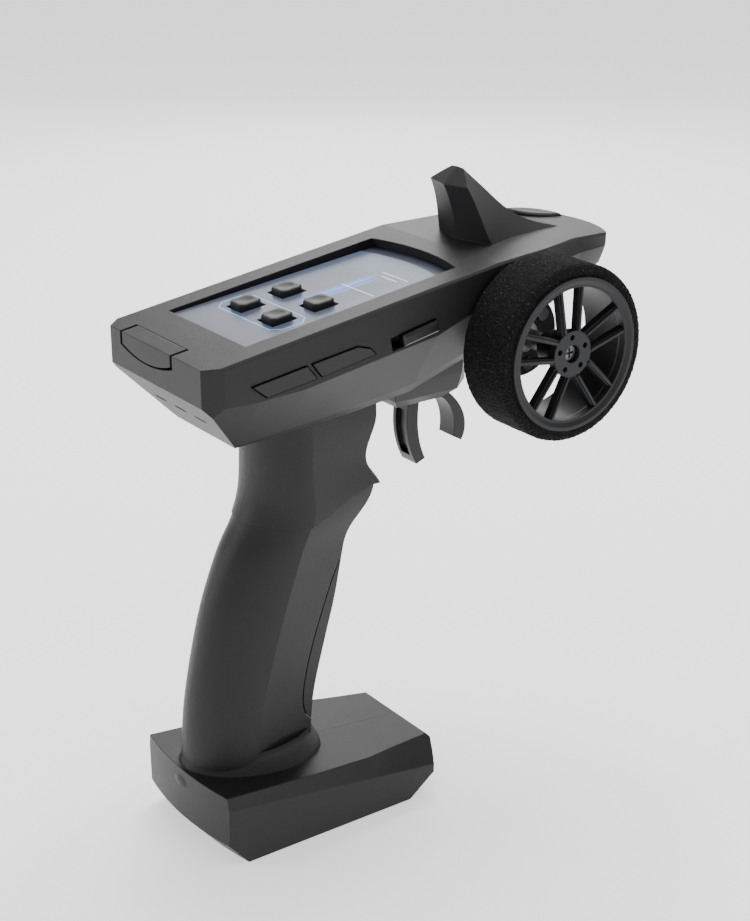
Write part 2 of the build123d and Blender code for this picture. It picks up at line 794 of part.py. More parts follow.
# ---------------------------------------------------------------- side controls
trim_buttons = {}
trim_back_x = head_half - 3.4
for name, points in trim_shapes.items():
    with BuildPart() as button:
        with BuildSketch(Plane.YZ.offset(trim_back_x)):
            add(trim_outline(points, 0))
        extrude(amount=head_half + trim_proud - trim_back_x)
        with BuildSketch(Plane.YZ.offset(trim_back_x)):
            add(trim_outline(points, trim_flange))
        extrude(amount=1.0)
    trim_buttons[name] = button

side_board_x = head_half - 7.4
side_board_plane = Plane(origin=(side_board_x, 2.0, 164.8), x_dir=(0, 1, 0.16), z_dir=(1, 0, 0))
trim_switch_sites = (-22.0, 0.5)
with BuildPart() as side_board:
    with BuildSketch(side_board_plane):
        Rectangle(66, 6.5)
    extrude(amount=1.2)

with BuildPart() as trim_switches:
    with BuildSketch(side_board_plane.offset(1.2)):
        with Locations(*[(u, -0.3) for u in trim_switch_sites]):
            Rectangle(6, 3.6)
    extrude(amount=1.6)

knob_length = switch_length - switch_travel - 2 * slide_gap
knob_shift = (switch_length - knob_length) / 2 - slide_gap
with BuildPart() as switch_knob:
    with BuildSketch(switch_plane.offset(-1.8)):
        with Locations((knob_shift, 0)):
            Rectangle(knob_length, switch_height - 2 * slide_gap)
    extrude(amount=1.8 + knob_proud)
    chamfer(switch_knob.edges().group_by(Axis.X)[-1], length=0.7)

switch_body_x = side_board_x + 1.2
with BuildPart() as switch_body:
    with BuildSketch(switch_plane.offset(switch_body_x - head_half)):
        Rectangle(9, 3.6)
    extrude(amount=head_half - 1.8 - 0.6 - switch_body_x)

# ---------------------------------------------------------------- steering wheel
hub_face_x = lip_x - hub_recess
hub_back_x = hub_face_x - hub_length
barrel_back_x = tyre_inner_x + 1.0


def steering_spin(points):
    """Revolve a closed outline of (x, radius) points about the steering axle."""
    with BuildPart() as form:
        with BuildSketch(Plane(origin=(0, wheel_y, wheel_z), x_dir=(1, 0, 0), z_dir=(0, -1, 0))):
            Polygon(*points, align=None)
        revolve(axis=Axis((0, wheel_y, wheel_z), (1, 0, 0)))
    return form.part


with BuildPart() as wheel_tyre:
    low = barrel_radius + 0.05
    high = tyre_radius
    add(steering_spin([
        (tyre_inner_x, low), (tyre_inner_x, high - tyre_shoulder), (tyre_inner_x + 0.9, high - 0.9),
        (tyre_inner_x + tyre_shoulder, high), (lip_x - 0.6 - tyre_shoulder, high), (lip_x - 1.5, high - 0.9),
        (lip_x - 0.6, high - tyre_shoulder), (lip_x - 0.6, rim_radius + 0.1),
        (lip_x - lip_width - 0.6, rim_radius + 0.1),
        (lip_x - lip_width - 0.6, low),
    ]))

with BuildPart() as wheel_rim:
    inner = barrel_radius - barrel_wall
    add(steering_spin([
        (barrel_back_x, inner), (barrel_back_x, barrel_radius), (lip_x - lip_width, barrel_radius),
        (lip_x - lip_width, rim_radius), (lip_x, rim_radius), (lip_x, rim_radius - 1.1),
        (lip_x - 0.8, inner + 0.3),
        (lip_x - 0.8, inner - 0.5), (lip_x - 3.4, inner - 0.5), (lip_x - 4.4, inner),
    ]))
    with BuildSketch(axle_plane.offset(hub_back_x)):
        Circle(5.4)
    extrude(amount=hub_length)
    with BuildSketch(axle_plane.offset(hub_face_x - spoke_depth)):
        Circle(hub_radius)
    extrude(amount=spoke_depth)
    # Spokes in pairs that spread a little towards the rim
    spoke_start = hub_radius - 2
    spoke_reach = inner + 0.4 - spoke_start
    for side in (1, -1):
        hub_side = side * spoke_hub_offset
        rim_side = side * spoke_rim_offset
        with BuildSketch(axle_plane.offset(hub_face_x - spoke_depth)):
            with PolarLocations(spoke_start, spoke_pairs, start_angle=spoke_first_angle):
                Polygon((0, hub_side - spoke_width / 2), (spoke_reach, rim_side - spoke_width / 2),
                        (spoke_reach, rim_side + spoke_width / 2), (0, hub_side + spoke_width / 2), align=None)
        extrude(amount=spoke_depth - 0.3)
    # Lug holes, the recess of the screw and the bore of the axle
    with BuildSketch(axle_plane.offset(hub_face_x - 1.6)):
        with PolarLocations(lug_circle, spoke_pairs, start_angle=spoke_first_angle):
            Circle(lug_radius)
    extrude(amount=1.6, mode=Mode.SUBTRACT)
    with BuildSketch(axle_plane.offset(hub_face_x - 3.4)):
        Circle(2.9)
    extrude(amount=3.4, mode=Mode.SUBTRACT)
    with BuildSketch(axle_plane.offset(hub_back_x)):
        Circle(screw_radius + 0.3)
    extrude(amount=hub_length, mode=Mode.SUBTRACT)
    with BuildSketch(axle_plane.offset(hub_back_x)):
        Circle(shaft_radius)
    extrude(amount=hub_length - 5.4, mode=Mode.SUBTRACT)

shaft_end_x = hub_back_x + hub_length - 5.4
with BuildPart() as wheel_axle:
    with BuildSketch(axle_plane.offset(-6)):
        Circle(shaft_radius)
    extrude(amount=shaft_end_x + 6)
    with BuildSketch(axle_plane.offset(shaft_end_x - 6)):
        Circle(screw_radius)
    extrude(amount=6, mode=Mode.SUBTRACT)

with BuildPart() as wheel_screw:
    with BuildSketch(axle_plane.offset(shaft_end_x - 5)):
        Circle(screw_radius)
    extrude(amount=hub_face_x - 3.4 - shaft_end_x + 5)
    with BuildSketch(axle_plane.offset(hub_face_x - 3.4)):
        Circle(screw_head_radius)
    extrude(amount=screw_head_t)
    with BuildSketch(axle_plane.offset(hub_face_x - 3.4 + screw_head_t - 0.9)):
        Rectangle(3.2, 0.7)
        Rectangle(0.7, 3.2)
    extrude(amount=2, mode=Mode.SUBTRACT)

mount_front_x = mount_inner_x + mount_t
bush_radius = shaft_radius + 2.0
mount_screw_circle = 9.6
with BuildPart() as steering_mount:
    with BuildSketch(axle_plane.offset(mount_inner_x)):
        Circle(boss_radius)
        Circle(bush_radius, mode=Mode.SUBTRACT)
    extrude(amount=mount_t)
    with BuildSketch(axle_plane.offset(mount_front_x)):
        Circle(bush_radius + 1.8)
        Circle(bush_radius, mode=Mode.SUBTRACT)
    extrude(amount=1.4)
    with BuildSketch(axle_plane.offset(mount_inner_x)):
        with PolarLocations(mount_screw_circle, 3, start_angle=40):
            Circle(screw_radius)
    extrude(amount=mount_t, mode=Mode.SUBTRACT)

with BuildPart() as steering_bush:
    with BuildSketch(axle_plane.offset(mount_inner_x - 4)):
        Circle(bush_radius)
        Circle(shaft_radius + shaft_gap, mode=Mode.SUBTRACT)
    extrude(amount=mount_t + 5.4)

with BuildPart() as mount_screws:
    for k in range(3):
        angle = radians(40 + 120 * k)
        y = wheel_y + mount_screw_circle * cos(angle)
        z = wheel_z + mount_screw_circle * sin(angle)
        with BuildSketch(side_plane(mount_inner_x, y, z)):
            Circle(screw_radius)
        extrude(amount=mount_t)
        with BuildSketch(side_plane(mount_front_x, y, z)):
            Circle(screw_head_radius - 0.3)
        extrude(amount=1.1)

pot_front_x = 0.0
with BuildPart() as steering_sensor:
    with BuildSketch(axle_plane.offset(-9.5)):
        Circle(pot_radius)
    extrude(amount=9.5 + pot_front_x)
    with BuildSketch(axle_plane.offset(pot_front_x)):
        Circle(shaft_radius + 1.6)
    extrude(amount=5)
    with BuildSketch(axle_plane.offset(-6.2)):
        Circle(shaft_radius + shaft_gap)
    extrude(amount=12, mode=Mode.SUBTRACT)

with BuildPart() as steering_spring:
    add(coil(axle_plane.offset(8), shaft_radius + 0.5, spring_radius, 12, 6))

# ---------------------------------------------------------------- trigger
with BuildPart() as trigger:
    with BuildSketch(Plane.YZ.offset(-trigger_half)):
        # Rear blade
        with BuildLine():
            Line((50.6, 140.0), (45.6, 140.0))
            Spline((45.6, 140.0), (45.4, 134.0), (45.1, 126.0), (46.6, 118.0), (49.0, 112.6))
            Line((49.0, 112.6), (52.6, 114.0))
            Spline((52.6, 114.0), (50.9, 118.2), (49.5, 126.0), (49.8, 134.0), (50.6, 140.0))
        make_face()
        # Front hook
        with BuildLine():
            Line((57.6, 140.0), (57.3, 135.0))
            Spline((57.3, 135.0), (60.9, 132.9), (63.7, 128.7), (64.8, 124.0), (64.6, 119.0))
            Line((64.6, 119.0), (67.9, 117.1))
            Spline((67.9, 117.1), (69.4, 121.6), (68.7, 126.5), (65.8, 131.6), (62.6, 135.0))
            Line((62.6, 135.0), (61.8, 140.0))
            Line((61.8, 140.0), (57.6, 140.0))
        make_face()
        Polygon((45.6, 139.5), (61.9, 139.5), (60.0, pivot_z), (48.0, pivot_z), align=None)
        with Locations((pivot_y, pivot_z)):
            Circle(trigger_web_radius)
    extrude(amount=2 * trigger_half)
    # Channel down the back of the blade
    with BuildSketch(Plane.YZ.offset(-trigger_half + 1.6)):
        Polygon((40.0, 132.0), (46.6, 132.0), (46.4, 125.0), (47.6, 119.0), (49.2, 116.0), (40.0, 114.0),
                align=None)
    extrude(amount=2 * trigger_half - 3.2, mode=Mode.SUBTRACT)
    with BuildSketch(pivot_plane.offset(-trigger_half)):
        Circle(trigger_pin_radius)
    extrude(amount=2 * trigger_half, mode=Mode.SUBTRACT)

with BuildPart() as trigger_pin:
    with BuildSketch(pivot_plane.offset(-9.5)):
        Circle(trigger_pin_radius)
    extrude(amount=20.5)

with BuildPart() as trigger_sensor:
    with BuildSketch(pivot_plane.offset(-11.6)):
        Circle(trigger_pot_radius)
        Circle(trigger_pin_radius + shaft_gap, mode=Mode.SUBTRACT)
    extrude(amount=6.6)

with BuildPart() as trigger_spring:
    add(coil(pivot_plane.offset(slot_half + 0.2), trigger_pin_radius + 0.3, trigger_spring_radius, 4, 4))

# ---------------------------------------------------------------- power and aerial
bay_half = cell_count * cell_pitch / 2
bay_y = -0.4
cell_z = door_t + cell_lift + cell_radius
bay_length = cell_length + 2 * contact_length
with BuildPart() as battery_tray:
    with BuildSketch(Plane.XY.offset(door_t + 0.4)):
        with Locations((0, bay_y)):
            Rectangle(2 * (bay_half + tray_wall), bay_length + 2 * tray_wall)
    extrude(amount=cell_z + cell_radius + tray_wall - door_t)
    with BuildSketch(Plane.XY.offset(door_t + 0.4)):
        with Locations((0, bay_y)):
            Rectangle(2 * bay_half, bay_length)
    extrude(amount=cell_z + cell_radius - door_t, mode=Mode.SUBTRACT)

cell_xs = [(k - (cell_count - 1) / 2) * cell_pitch for k in range(cell_count)]
with BuildPart() as battery_cells:
    for x in cell_xs:
        with BuildSketch(Plane.XZ.offset(-bay_y - cell_length / 2)):
            with Locations((x, cell_z)):
                Circle(cell_radius)
        extrude(amount=cell_length)

with BuildPart() as battery_contacts:
    for x in cell_xs:
        for end in (1, -1):
            face_y = bay_y + end * (cell_length / 2 + contact_length)
            with BuildSketch(Plane.XZ.offset(-face_y)):
                with Locations((x, cell_z)):
                    Rectangle(8, 7)
            extrude(amount=end * 0.5)
            with BuildSketch(Plane.XZ.offset(-face_y)):
                with Locations((x, cell_z)):
                    Circle(2.2)
            extrude(amount=end * contact_length)

lead_points = [(-16.0, 17.0), (-13.0, 45.0), (-5.0, 88.0), (-6.0, 118.0), (-5.0, 150.0)]
with BuildPart() as battery_leads:
    for x in (-1.6, 1.6):
        with BuildLine(Plane.YZ.offset(x)) as route:
            FilletPolyline(*lead_points, radius=30)
        with BuildSketch(Plane(origin=route.line @ 0, z_dir=route.line % 0)):
            Circle(0.7)
        sweep(path=route.line)

with BuildPart() as aerial:
    with BuildSketch(Plane.XY.offset(180)):
        with Locations((0, 72.5)):
            Rectangle(1.2, 5)
    extrude(amount=17)

with BuildPart() as case_screws:
    for y, z, face_x in case_screw_sites:
        with BuildSketch(side_plane(-face_x + head_sink, y, z)):
            Circle(screw_head_radius)
        extrude(amount=screw_head_t)
        with BuildSketch(side_plane(-face_x + head_sink + screw_head_t, y, z)):
            Circle(screw_radius)
        extrude(amount=face_x - head_sink - screw_head_t + screw_reach - 1)

# ---------------------------------------------------------------- labels and files
pieces = {
    "shell_left": shell_left, "shell_right": shell_right, "rear_tab": rear_tab, "front_cap": front_cap,
    "grip_insert": grip_insert, "battery_door": battery_door, "panel_plate": panel_plate,
    "panel_sticker": panel_sticker, "panel_switches": panel_switches, "main_board": main_board,
    "board_screws": board_screws, "radio_module": radio_module, "side_board": side_board,
    "trim_switches": trim_switches, "switch_knob": switch_knob, "switch_body": switch_body,
    "wheel_tyre": wheel_tyre, "wheel_rim": wheel_rim, "wheel_axle": wheel_axle, "wheel_screw": wheel_screw,
    "steering_mount": steering_mount, "steering_bush": steering_bush, "mount_screws": mount_screws,
    "steering_sensor": steering_sensor, "steering_spring": steering_spring, "trigger": trigger,
    "trigger_pin": trigger_pin, "trigger_sensor": trigger_sensor, "trigger_spring": trigger_spring,
    "battery_tray": battery_tray, "battery_cells": battery_cells, "battery_contacts": battery_contacts,
    "battery_leads": battery_leads, "aerial": aerial, "case_screws": case_screws,
}
for number, button in enumerate(panel_buttons, start=1):
    pieces[f"panel_button_{number}"] = button
pieces.update(trim_buttons)
for name, piece in pieces.items():
    piece.part.label = name
    export_step(piece.part, f"parts/{name}.step")
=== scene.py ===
import json
import math
import bpy
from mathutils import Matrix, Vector


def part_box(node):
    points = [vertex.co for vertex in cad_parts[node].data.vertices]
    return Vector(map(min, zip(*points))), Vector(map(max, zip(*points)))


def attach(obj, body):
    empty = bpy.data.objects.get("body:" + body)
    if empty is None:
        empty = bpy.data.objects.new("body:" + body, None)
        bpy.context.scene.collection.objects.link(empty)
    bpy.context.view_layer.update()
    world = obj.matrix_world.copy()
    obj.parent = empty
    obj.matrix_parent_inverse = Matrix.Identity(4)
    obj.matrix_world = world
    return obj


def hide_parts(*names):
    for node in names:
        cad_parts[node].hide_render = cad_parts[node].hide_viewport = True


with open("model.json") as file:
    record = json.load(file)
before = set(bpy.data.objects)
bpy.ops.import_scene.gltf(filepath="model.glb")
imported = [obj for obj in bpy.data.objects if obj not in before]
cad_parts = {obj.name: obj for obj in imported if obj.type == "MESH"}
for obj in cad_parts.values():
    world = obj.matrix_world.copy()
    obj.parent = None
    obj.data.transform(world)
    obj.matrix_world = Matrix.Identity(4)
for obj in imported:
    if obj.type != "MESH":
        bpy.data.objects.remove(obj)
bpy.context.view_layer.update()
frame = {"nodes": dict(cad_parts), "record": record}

nodes = frame["nodes"]
mm = 0.001
print("frame loaded:", len(nodes), "nodes")


cameraSetup = {
    "place": (0.450, -0.28725, 0.3315),
    "turn": math.radians(54.405),      # from straight behind, towards the wheel's side
    "height": math.radians(21.298),    # above the level
    "lens": 70.16,
}


def addCamera(setup):
    lens = bpy.data.cameras.new("viewCamera")
    lens.lens = setup["lens"]
    lens.sensor_width = 36
    lens.clip_end = 50
    camera = bpy.data.objects.new("viewCamera", lens)
    camera.location = setup["place"]
    camera.rotation_euler = (math.pi / 2 - setup["height"], 0, setup["turn"])
    bpy.context.scene.collection.objects.link(camera)
    bpy.context.scene.camera = camera


studio = {
    "floorSize": 40.0,
    "floorColour": (0.93, 0.93, 0.93, 1),
    "skyColour": (1.0, 1.0, 1.0, 1),
    "skyStrength": 0.80,
    "floorGlow": 0.80,
    # name, place, aimed at, size, power
    "lamps": (
        ("overheadSoftbox", (-0.25, 0.35, 1.15), (0, 0.03, 0.15), 0.8, 13.0),
        ("behindSoftbox", (-0.95, 0.70, 0.55), (0, 0.03, 0.12), 0.6, 4.0),
        ("leftSoftbox", (-0.55, -0.95, 0.45), (0, 0, 0.10), 0.5, 3.5),
    ),
}


def addStudio(setup):
    bpy.ops.object.select_all(action="DESELECT")
    bpy.ops.mesh.primitive_plane_add(size=setup["floorSize"], location=(0, 0, -0.0002))
    floor = bpy.context.object
    floor.name = "studioFloor"
    paper = bpy.data.materials.new("paleFloor")
    paper.use_nodes = True
    shader = paper.node_tree.nodes["Principled BSDF"]
    shader.inputs["Base Color"].default_value = setup["floorColour"]
    shader.inputs["Roughness"].default_value = 0.9
    shader.inputs["Specular IOR Level"].default_value = 0.1
    shader.inputs["Emission Color"].default_value = setup["floorColour"]
    shader.inputs["Emission Strength"].default_value = setup["floorGlow"]
    floor.data.materials.append(paper)
    world = bpy.data.worlds.new("studioSky")
    bpy.context.scene.world = world
    world.use_nodes = True
    sky = world.node_tree.nodes["Background"]
    sky.inputs["Color"].default_value = setup["skyColour"]
    sky.inputs["Strength"].default_value = setup["skyStrength"]
    for name, place, target, size, power in setup["lamps"]:
        lamp = bpy.data.lights.new(name, "AREA")
        lamp.shape = "DISK"
        lamp.size = size
        lamp.energy = power
        holder = bpy.data.objects.new(name, lamp)
        holder.location = place
        holder.rotation_euler = (Vector(target) - Vector(place)).to_track_quat("-Z", "Y").to_euler()
        bpy.context.scene.collection.objects.link(holder)


addCamera(cameraSetup)
addStudio(studio)
print("camera and studio placed")


class wire:
    # wraps a socket, so that node maths can be written as an expression
    def __init__(self, tree, socket):
        self.tree = tree
        self.socket = socket

    def node(self, kind, settings=None, inputs=None, output=0):
        made = self.tree.nodes.new(kind)
        for name, value in (settings or {}).items():
            setattr(made, name, value)
        for key, value in (inputs or {}).items():
            if isinstance(value, wire):
                self.tree.links.new(value.socket, made.inputs[key])
            else:
                made.inputs[key].default_value = value
        return wire(self.tree, made.outputs[output])

    def maths(self, operation, *values):
        # values are all the inputs, this wire among them
        return self.node("ShaderNodeMath", {"operation": operation}, dict(enumerate(values)))

    def __add__(self, other):
        return self.maths("ADD", self, other)

    def __sub__(self, other):
        return self.maths("SUBTRACT", self, other)

    def __rsub__(self, other):
        return self.maths("SUBTRACT", other, self)

    def __mul__(self, other):
        return self.maths("MULTIPLY", self, other)

    def __abs__(self):
        return self.maths("ABSOLUTE", self)

    __radd__ = __add__
    __rmul__ = __mul__

    def larger(self, other):
        return self.maths("MAXIMUM", self, other)

    def smooth(self, low, high):
        # 0 below low, 1 above high
        return self.node("ShaderNodeMapRange", {"interpolation_type": "SMOOTHSTEP"},
                         {"Value": self, "From Min": low, "From Max": high})

    def noise(self, scale, detail=2.0, rough=0.5):
        return self.node("ShaderNodeTexNoise", None,
                         {"Vector": self, "Scale": scale, "Detail": detail, "Roughness": rough})

    def blend(self, factor, first, second):
        return self.node("ShaderNodeMix", {"data_type": "RGBA"},
                         {0: factor, 6: first, 7: second}, output=2)

    def axis(self, number):
        # 0 across, 1 forwards
        return self.node("ShaderNodeSeparateXYZ", None, {0: self}, output=number)


def newMaterial(name, **fixed):
    material = bpy.data.materials.new(name)
    material.use_nodes = True
    tree = material.node_tree
    shader = tree.nodes["Principled BSDF"]
    for key, value in fixed.items():
        shader.inputs[key.replace("_", " ")].default_value = value
    coordinates = tree.nodes.new("ShaderNodeTexCoord")
    return material, shader, wire(tree, coordinates.outputs["Object"])


def feed(shader, name, value):
    value.tree.links.new(value.socket, shader.inputs[name])


def addGrain(shader, place, height, depth, edge=0.0):
    # bump from a height in 0 to 1; edge is the radius that sharp edges seem to have
    inputs = {"Height": height, "Distance": depth, "Strength": 1.0}
    if edge:
        inputs["Normal"] = place.node("ShaderNodeBevel", {"samples": 4}, {"Radius": edge})
    feed(shader, "Normal", place.node("ShaderNodeBump", None, inputs))


caseLook = {
    "dark": (0.0085, 0.0083, 0.0092, 1),
    "light": (0.0150, 0.0146, 0.0158, 1),
    "patch": 42.0,          # soft tone changes, per metre
    "grain": 2100.0,        # spark-eroded mould grain, per metre
    "grainDepth": 0.00009,
    "shine": 0.26,
    "edge": 0.00045,
}


def mouldedPlastic(name, look, gloss, grainShare=1.0, edge=None):
    material, shader, place = newMaterial(name, Specular_IOR_Level=look["shine"])
    patch = place.noise(look["patch"], 3.0, 0.6)
    grain = place.noise(look["grain"], 3.0, 0.65)
    scuff = place.noise(look["patch"] * 9, 6.0, 0.75).smooth(0.56, 0.72)
    tone = place.blend(patch * 0.6 + grain * 0.4, look["dark"], look["light"])
    feed(shader, "Base Color", tone)
    feed(shader, "Roughness", patch * 0.07 + grain * 0.06 + gloss - scuff * 0.03)
    addGrain(shader, place, grain, look["grainDepth"] * grainShare,
             look["edge"] if edge is None else edge)
    return material


glossLook = dict(caseLook, shine=0.34, dark=(0.0035, 0.0035, 0.0040, 1), light=(0.0060, 0.0060, 0.0066, 1))
rimLook = dict(caseLook, dark=(0.0095, 0.0100, 0.0116, 1), light=(0.0150, 0.0156, 0.0178, 1), edge=0.0003)
keyLook = dict(caseLook, dark=(0.0130, 0.0126, 0.0122, 1), light=(0.0200, 0.0194, 0.0188, 1), edge=0.0006)

casePlastic = mouldedPlastic("satinCase", caseLook, 0.40)
coverPlastic = mouldedPlastic("satinCover", caseLook, 0.42)
sidePlastic = mouldedPlastic("glossSideKeys", glossLook, 0.26, 0.35, 0.0003)
triggerPlastic = mouldedPlastic("satinTrigger", glossLook, 0.33, 0.6)
rimPlastic = mouldedPlastic("satinRim", rimLook, 0.36, 0.5)
keyRubber = mouldedPlastic("keyRubber", keyLook, 0.40, 0.5)


panelArt = {
    "rear": (0.045, 0.056, 0.088, 1),
    "front": (0.090, 0.115, 0.180, 1),
    "field": (0.020, 0.027, 0.048, 1),
    "trail": (0.030, 0.240, 0.900, 1),
    "glow": (0.030, 0.100, 0.380, 1),
    "outline": (0.060, 0.380, 0.850, 1),
    "mark": (0.620, 0.640, 0.680, 1),
    "rowY": -7.95 * mm,
    "outlineHalf": (17.6 * mm, 6.4 * mm),
    "outlineCorner": 3.0 * mm,
    "outlineWidth": 0.26 * mm,
    "fieldArea": (6.0 * mm, 40.0 * mm),
    "fieldShare": 0.564,
    # place across the film, half-width
    "trails": (
        (0.99 * mm, 0.30 * mm),
        (2.57 * mm, 0.26 * mm),
        (4.55 * mm, 0.22 * mm),
        (2.11 * mm, 0.24 * mm),
    ),
    "trailArea": (3.0 * mm, 36.0 * mm),
    "rulesX": 8.0 * mm,
    "rules": ((37.0 * mm, 6.5 * mm), (34.6 * mm, 4.0 * mm), (22.5 * mm, 8.5 * mm)),  # place, half length
    "ruleHalf": 0.25 * mm,
}


def panelFilm(art):
    material, shader, place = newMaterial("panelFilm", Specular_IOR_Level=0.22,
                                          Coat_Roughness=0.2, Coat_IOR=1.3)
    x, y = place.axis(0), place.axis(1)
    ends = y.smooth(-26 * mm, 40 * mm)
    cloud = place.noise(60.0, 3.0, 0.55)
    colour = place.blend(ends * 0.75 + cloud * 0.25, art["rear"], art["front"])
    # a darker field that fades in towards the middle of the front half
    low, high = art["fieldArea"]
    field = y.smooth(low, low + 9 * mm) * (1 - y.smooth(high - 13 * mm, high))
    field = field * (1 - abs(x).smooth(9 * mm, 19 * mm))
    colour = place.blend(field * art["fieldShare"], colour, art["field"])
    # straight light trails that run forwards
    low, high = art["trailArea"]
    span = y.smooth(low, low + 8 * mm) * (1 - y.smooth(high - 9 * mm, high))
    trail = None
    glow = None
    for centreX, half in art["trails"]:
        away = abs(x - centreX)
        core = (1 - away.smooth(half * 0.4, half * 2.2)) * span
        halo = (1 - away.smooth(0, half * 10)) * span
        trail = core if trail is None else trail.larger(core)
        glow = halo if glow is None else glow.larger(halo)
    colour = place.blend(glow * 0.55, colour, art["glow"])
    colour = place.blend(trail * 0.9, colour, art["trail"])
    # chamfered outline about the two rear keys
    halfX, halfY = art["outlineHalf"]
    sideX = abs(x) - halfX
    sideY = abs(y - art["rowY"]) - halfY
    corner = (sideX + sideY + art["outlineCorner"]) * 0.7071
    edge = abs(sideX.larger(sideY).larger(corner))
    ring = 1 - edge.smooth(art["outlineWidth"] * 0.6, art["outlineWidth"] * 1.5)
    colour = place.blend(ring * 0.9, colour, art["outline"])
    # three plain rules, with no lettering
    rules = None
    for centreY, halfLength in art["rules"]:
        across = 1 - abs(y - centreY).smooth(art["ruleHalf"] - 0.09 * mm, art["ruleHalf"] + 0.09 * mm)
        along = 1 - abs(x - art["rulesX"]).smooth(halfLength, halfLength + 0.2 * mm)
        rules = across * along if rules is None else rules.larger(across * along)
    colour = place.blend(rules * 0.85, colour, art["mark"])
    speck = place.noise(5200.0, 2.0, 0.6)
    feed(shader, "Base Color", colour)
    feed(shader, "Roughness", speck * 0.10 + cloud * 0.06 + 0.30)
    feed(shader, "Coat Weight", cloud * 0.2 + 0.1)
    addGrain(shader, place, speck, 0.000012)
    return material


def panelTray():
    material, shader, place = newMaterial("navyTray")
    patch = place.noise(70.0, 3.0, 0.6)
    grain = place.noise(4200.0, 2.0, 0.6)
    feed(shader, "Base Color", place.blend(patch, (0.0035, 0.0055, 0.018, 1), (0.006, 0.011, 0.038, 1)))
    feed(shader, "Roughness", patch * 0.10 + grain * 0.08 + 0.34)
    addGrain(shader, place, grain, 0.00002)
    return material


foamLook = {
    "cell": 1500.0,          # cells per metre
    # painted shade inside the open cell pits, far darker than the foam's own skin colour
    "pitShade": (0.0008, 0.0008, 0.0009, 1),
    "skin": (0.0110, 0.0110, 0.0112, 1),
    "fleck": (0.16, 0.16, 0.165, 1),
    "depth": 0.00045,
}


def foamMaterial(look):
    material, shader, place = newMaterial("openCellFoam", Specular_IOR_Level=0.12)
    cells = place.node("ShaderNodeTexVoronoi", {"feature": "F1"}, {"Vector": place, "Scale": look["cell"]})
    fine = place.noise(look["cell"] * 1.9, 3.0, 0.7)
    patch = place.noise(110.0, 3.0, 0.6)
    wall = cells.smooth(0.15, 0.75)
    # darkest at each cell's middle: painted shade in the open pits; the skin colour is the foam's own
    colour = place.blend(wall * 0.7 + fine * 0.3, look["pitShade"], look["skin"])
    fleck = place.noise(look["cell"] * 1.1, 1.0, 0.5).smooth(0.68, 0.76)
    colour = place.blend(fleck * patch * 0.8, colour, look["fleck"])
    feed(shader, "Base Color", colour)
    feed(shader, "Roughness", 0.80 + fine * 0.16 - fleck * 0.3)
    addGrain(shader, place, wall * 0.7 + fine * 0.5, look["depth"])
    return material


def turnedMetal(name, dark, light, gloss):
    material, shader, place = newMaterial(name)
    shader.inputs["Metallic"].default_value = 1.0
    rings = place.node("ShaderNodeTexNoise", None, {
        "Vector": place.node("ShaderNodeMapping", None, {0: place, "Scale": (9000, 400, 400)}),
        "Scale": 1.0, "Detail": 2.0})
    patch = place.noise(240.0, 3.0, 0.6)
    feed(shader, "Base Color", place.blend(patch, dark, light))
    feed(shader, "Roughness", rings * 0.16 + patch * 0.10 + gloss)
    addGrain(shader, place, rings, 0.000008, 0.00015)
    return material


def circuitBoard():
    material, shader, place = newMaterial("circuitBoard", Coat_Roughness=0.2)
    cloud = place.noise(180.0, 3.0, 0.6)
    colour = place.blend(cloud * 0.4, (0.0118, 0.0908, 0.0421, 1), (0.004, 0.030, 0.015, 1))
    feed(shader, "Base Color", colour)
    feed(shader, "Roughness", cloud * 0.15 + 0.30)
    return material


def cellJacket():
    material, shader, place = newMaterial("cellJacket", Coat_Roughness=0.15)
    band = place.axis(1).smooth(12.0 * mm, 12.2 * mm)
    cloud = place.noise(200.0, 3.0, 0.6)
    colour = place.blend(band, (0.010, 0.030, 0.110, 1), (0.50, 0.33, 0.10, 1))
    feed(shader, "Base Color", place.blend(cloud * 0.2, colour, (0.02, 0.02, 0.03, 1)))
    feed(shader, "Roughness", cloud * 0.12 + 0.22)
    addGrain(shader, place, cloud, 0.00002)
    return material


def leadJacket():
    material, shader, place = newMaterial("leadJacket")
    cloud = place.noise(400.0, 3.0, 0.6)
    right = place.axis(0).smooth(-0.1 * mm, 0.1 * mm)
    colour = place.blend(right, (0.008, 0.008, 0.008, 1), (0.30, 0.008, 0.006, 1))
    feed(shader, "Base Color", place.blend(cloud * 0.3, colour, (0.02, 0.01, 0.01, 1)))
    feed(shader, "Roughness", cloud * 0.12 + 0.34)
    addGrain(shader, place, cloud, 0.00003)
    return material


screwSteel = turnedMetal("blackenedSteel", (0.10, 0.10, 0.11, 1), (0.20, 0.20, 0.21, 1), 0.26)
shaftSteel = turnedMetal("groundSteel", (0.42, 0.42, 0.44, 1), (0.60, 0.60, 0.62, 1), 0.16)
bearingSteel = turnedMetal("bearingSteel", (0.20, 0.20, 0.21, 1), (0.40, 0.40, 0.42, 1), 0.16)
springSteel = turnedMetal("springSteel", (0.40, 0.40, 0.42, 1), (0.56, 0.56, 0.58, 1), 0.22)

finishes = {
    "case_plastic": casePlastic, "cover_plastic": coverPlastic, "panel_tray": panelTray(),
    "panel_film": panelFilm(panelArt), "button_rubber": keyRubber, "trim_plastic": sidePlastic,
    "trigger_plastic": triggerPlastic, "rim_plastic": rimPlastic, "foam": foamMaterial(foamLook),
    "board": circuitBoard(), "chip": mouldedPlastic("chipBody", glossLook, 0.38, 0.5),
    "screw_steel": screwSteel, "spring_steel": springSteel, "bearing_steel": bearingSteel,
    "axle_steel": shaftSteel, "cell_jacket": cellJacket(),
    "contact_metal": turnedMetal("nickelPlate", (0.55, 0.55, 0.55, 1), (0.72, 0.72, 0.72, 1), 0.12),
    "lead_jacket": leadJacket(),
}
for part in frame["record"]["subparts"]:
    mesh = nodes[part["node"]].data
    mesh.materials.clear()
    mesh.materials.append(finishes[part["material_slot"]])


